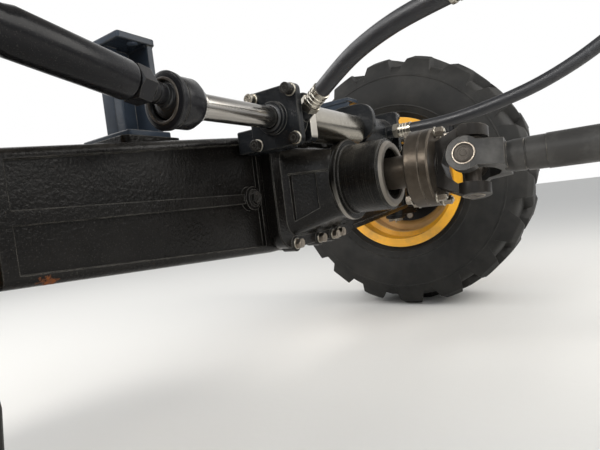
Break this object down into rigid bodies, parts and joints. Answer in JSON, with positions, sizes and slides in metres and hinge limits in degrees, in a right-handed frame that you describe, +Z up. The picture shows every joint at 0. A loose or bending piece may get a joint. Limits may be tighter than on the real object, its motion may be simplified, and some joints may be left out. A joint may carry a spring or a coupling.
{
  "type": "steered drive axle with wheels",
  "caption": "Steered drive axle: cast beam, carrier, steering cylinder, tie rods, hubs, two lugged wheels and a jointed propeller shaft.",
  "frame": {"origin": "centre of the four-bolt seat on top of the two saddles", "axes": "+X forward, away from the propeller shaft; +Y to the left wheel; +Z up"},
  "size_m": [1.781, 2.184, 0.966],
  "materials": {
    "black_cast": "gloss",
    "black_plate": "gloss",
    "bright_steel": "polished",
    "black_steel": "gloss",
    "seal_rubber": "matte",
    "yellow_paint": "gloss",
    "tyre_rubber": "matte",
    "zinc_fitting": "satin",
    "hose_rubber": "satin",
    "cross_steel": "satin",
    "dark_forging": "satin"
  },
  "bodies": {
    "axle": {"axle_housing": "black_cast", "half_shaft_joint_left": "dark_forging", "half_shaft_joint_right": "dark_forging", "differential_carrier": "black_cast", "pinion_seal": "seal_rubber", "front_trunnion": "black_cast", "saddle_left": "black_plate", "saddle_right": "black_plate", "cylinder_barrel": "bright_steel", "cylinder_gland_left": "black_cast", "cylinder_gland_right": "black_cast", "hose_port_near": "zinc_fitting", "hose_port_far": "zinc_fitting", "hose_near": "hose_rubber", "hose_far": "hose_rubber", "hose_end_near": "zinc_fitting", "hose_end_far": "zinc_fitting"},
    "steering_rod": {"cylinder_rod": "bright_steel", "rod_socket_left": "black_steel", "rod_socket_right": "black_steel"},
    "tie_left": {"tie_rod_left": "black_steel", "ball_stud_left": "seal_rubber"},
    "tie_right": {"tie_rod_right": "black_steel", "ball_stud_right": "seal_rubber"},
    "knuckle_left": {"knuckle_left": "black_cast", "kingpin_upper_left": "black_cast", "kingpin_lower_left": "black_cast"},
    "knuckle_right": {"knuckle_right": "black_cast", "kingpin_upper_right": "black_cast", "kingpin_lower_right": "black_cast"},
    "wheel_left": {"hub_left": "black_cast", "rim_left": "yellow_paint", "tyre_left": "tyre_rubber"},
    "wheel_right": {"hub_right": "black_cast", "rim_right": "yellow_paint", "tyre_right": "tyre_rubber"},
    "pinion": {"companion_flange": "dark_forging", "flange_yoke_front": "dark_forging"},
    "front_cross": {"cross_front": "cross_steel"},
    "shaft": {"shaft_front": "dark_forging"},
    "sleeve": {"slip_sleeve": "dark_forging"},
    "rear_cross": {"cross_rear": "cross_steel"},
    "rear_flange": {"flange_yoke_rear": "dark_forging"}
  },
  "joints": [
    {"name": "steer_left", "type": "hinge", "parent": "axle", "child": "knuckle_left", "pos_m": [0, 0.775, -0.262], "axis": [0, 0, 1], "range_deg": [-30, 30]},
    {"name": "steer_right", "type": "hinge", "parent": "axle", "child": "knuckle_right", "pos_m": [0, -0.775, -0.262], "axis": [0, 0, 1], "range_deg": [-30, 30]},
    {"name": "rod_slide", "type": "slide", "parent": "axle", "child": "steering_rod", "axis": [0, -1, 0], "range_m": [-0.1176, 0.1176]},
    {"name": "tie_rod_left", "type": "hinge", "parent": "steering_rod", "child": "tie_left", "pos_m": [-0.197, 0.44, -0.1485], "axis": [0, 0, 1], "range_deg": [-6.05, 6.05]},
    {"name": "tie_rod_right", "type": "hinge", "parent": "steering_rod", "child": "tie_right", "pos_m": [-0.197, -0.44, -0.1485], "axis": [0, 0, 1], "range_deg": [-6.05, 6.05]},
    {"name": "wheel_spin_left", "type": "hinge", "parent": "knuckle_left", "child": "wheel_left", "pos_m": [0, 0.938, -0.262], "axis": [0, 1, 0], "continuous": true},
    {"name": "wheel_spin_right", "type": "hinge", "parent": "knuckle_right", "child": "wheel_right", "pos_m": [0, -0.938, -0.262], "axis": [0, 1, 0], "continuous": true},
    {"name": "pinion_spin", "type": "hinge", "parent": "axle", "child": "pinion", "pos_m": [-0.33, 0, -0.262], "axis": [1, 0, 0], "continuous": true},
    {"name": "front_joint_yaw", "type": "hinge", "parent": "pinion", "child": "front_cross", "pos_m": [-0.465, 0, -0.262], "axis": [0, -0.2233, 0.9748], "range_deg": [-15, 15]},
    {"name": "front_joint_pitch", "type": "hinge", "parent": "front_cross", "child": "shaft", "pos_m": [-0.465, 0, -0.262], "axis": [0, 0.9748, 0.2233], "range_deg": [-15, 15]},
    {"name": "shaft_slip", "type": "slide", "parent": "shaft", "child": "sleeve", "axis": [-1, 0, 0], "range_m": [-0.035, 0.035]},
    {"name": "rear_joint_pitch", "type": "hinge", "parent": "sleeve", "child": "rear_cross", "pos_m": [-1.19, 0, -0.262], "axis": [0, 0.9748, 0.2233], "range_deg": [-15, 15]},
    {"name": "rear_joint_yaw", "type": "hinge", "parent": "rear_cross", "child": "rear_flange", "pos_m": [-1.19, 0, -0.262], "axis": [0, -0.2233, 0.9748], "range_deg": [-15, 15]}
  ],
  "couplings": [
    {"joint": "steer_right", "follows": "steer_left", "ratio": 1},
    {"joint": "rod_slide", "follows": "steer_left", "m_per_rad": 0.2244},
    {"joint": "tie_rod_left", "follows": "steer_left", "ratio": -0.2},
    {"joint": "tie_rod_right", "follows": "steer_left", "ratio": -0.2},
    {"joint": "rear_joint_pitch", "follows": "front_joint_pitch", "ratio": -1},
    {"joint": "rear_joint_yaw", "follows": "front_joint_yaw", "ratio": -1}
  ]
}
